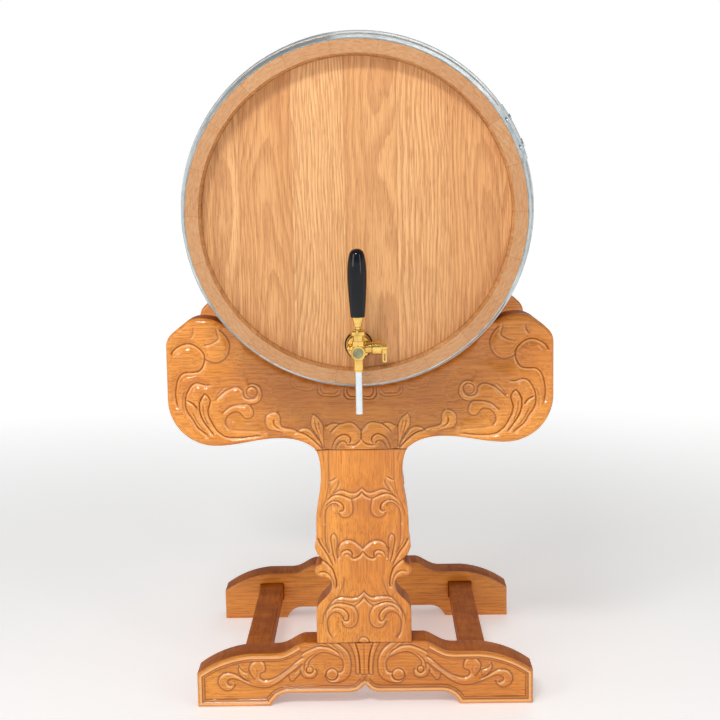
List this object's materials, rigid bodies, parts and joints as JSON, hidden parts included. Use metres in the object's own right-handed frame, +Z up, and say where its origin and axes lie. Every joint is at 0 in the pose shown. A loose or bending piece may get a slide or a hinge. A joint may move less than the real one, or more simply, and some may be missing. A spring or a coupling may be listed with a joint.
{
  "type": "oak cask liquor dispenser",
  "caption": "Oak cask lying on a carved two-frame wooden stand, with galvanised hoops and a brass lever tap with a black handle and a long steel outlet tube.",
  "frame": {"origin": "on the floor, under the centre of the whole dispenser's bounding box", "axes": "+Z up; the cask axis runs along Y with its tap end facing -Y; X across"},
  "size_m": [0.608, 0.83, 1.09],
  "materials": {
    "oak_staves": "satin clear coat on oak, radial joints between staves",
    "oak_heads": "satin clear coat on oak, upright grain",
    "bung_wood": "turned hardwood, bare",
    "stand_wood": "glossy orange-brown lacquer on carved hardwood",
    "rail_wood": "glossy reddish-brown lacquer",
    "galvanised_hoops": "galvanised steel band, bluish grey",
    "rivet_steel": "dull galvanised steel",
    "tap_brass": "polished gold-coloured brass",
    "plug_bronze": "dark patinated brass",
    "black_rubber": "matt",
    "steel_tube": "bright polished stainless steel",
    "black_grip": "glossy black lacquered grip"
  },
  "bodies": {
    "root": {"stave_01": "oak_staves", "stave_02": "oak_staves", "stave_03": "oak_staves", "stave_04": "oak_staves", "stave_05": "oak_staves", "stave_06": "oak_staves", "stave_07": "oak_staves", "stave_08": "oak_staves", "stave_09": "oak_staves", "stave_10": "oak_staves", "stave_11": "oak_staves", "stave_12": "oak_staves", "stave_13": "oak_staves", "stave_14": "oak_staves", "stave_15": "oak_staves", "stave_16": "oak_staves", "stave_17": "oak_staves", "stave_18": "oak_staves", "stave_19": "oak_staves", "stave_20": "oak_staves", "stave_21": "oak_staves", "stave_22": "oak_staves", "front_head": "oak_heads", "rear_head": "oak_heads", "front_head_hoop": "galvanised_hoops", "rear_head_hoop": "galvanised_hoops", "front_quarter_hoop": "galvanised_hoops", "rear_quarter_hoop": "galvanised_hoops", "front_bilge_hoop": "galvanised_hoops", "rear_bilge_hoop": "galvanised_hoops", "hoop_rivets": "rivet_steel", "front_foot": "stand_wood", "rear_foot": "stand_wood", "front_pedestal": "stand_wood", "rear_pedestal": "stand_wood", "front_yoke": "stand_wood", "rear_yoke": "stand_wood", "left_rail": "rail_wood", "right_rail": "rail_wood", "upper_rail": "rail_wood", "tap_shank": "tap_brass", "head_gasket": "black_rubber", "head_flange": "tap_brass", "lock_nut": "tap_brass", "coupling_nut": "tap_brass", "tap_body": "tap_brass", "front_plug": "plug_bronze", "bonnet": "tap_brass", "outlet_nozzle": "tap_brass", "outlet_tube": "steel_tube", "flow_nut": "tap_brass", "flow_housing": "tap_brass"},
    "bung": {"bung": "bung_wood"},
    "tap_handle": {"lever_stem": "steel_tube", "lever_ferrule": "tap_brass", "handle_grip": "black_grip"},
    "tap_plunger": {"plunger": "steel_tube", "plunger_seal": "black_rubber"},
    "flow_handle": {"flow_lever": "tap_brass"}
  },
  "joints": [
    {"name": "tap_lever", "type": "hinge", "parent": "root", "child": "tap_handle", "pos_m": [0, -0.4, 0.62598], "axis": [1, 0, 0], "range_deg": [0, 15]},
    {"name": "plunger_slide", "type": "slide", "parent": "root", "child": "tap_plunger", "axis": [0, 1, 0], "range_m": [0, 0.0064]},
    {"name": "flow_control", "type": "hinge", "parent": "root", "child": "flow_handle", "pos_m": [0, -0.351, 0.60198], "axis": [-1, 0, 0], "range_deg": [0, 90]},
    {"name": "bung_lift", "type": "slide", "parent": "root", "child": "bung", "axis": [0, 0, 1], "range_m": [0, 0.06]}
  ],
  "couplings": [
    {"joint": "plunger_slide", "follows": "tap_lever", "m_per_rad": 0.024}
  ]
}
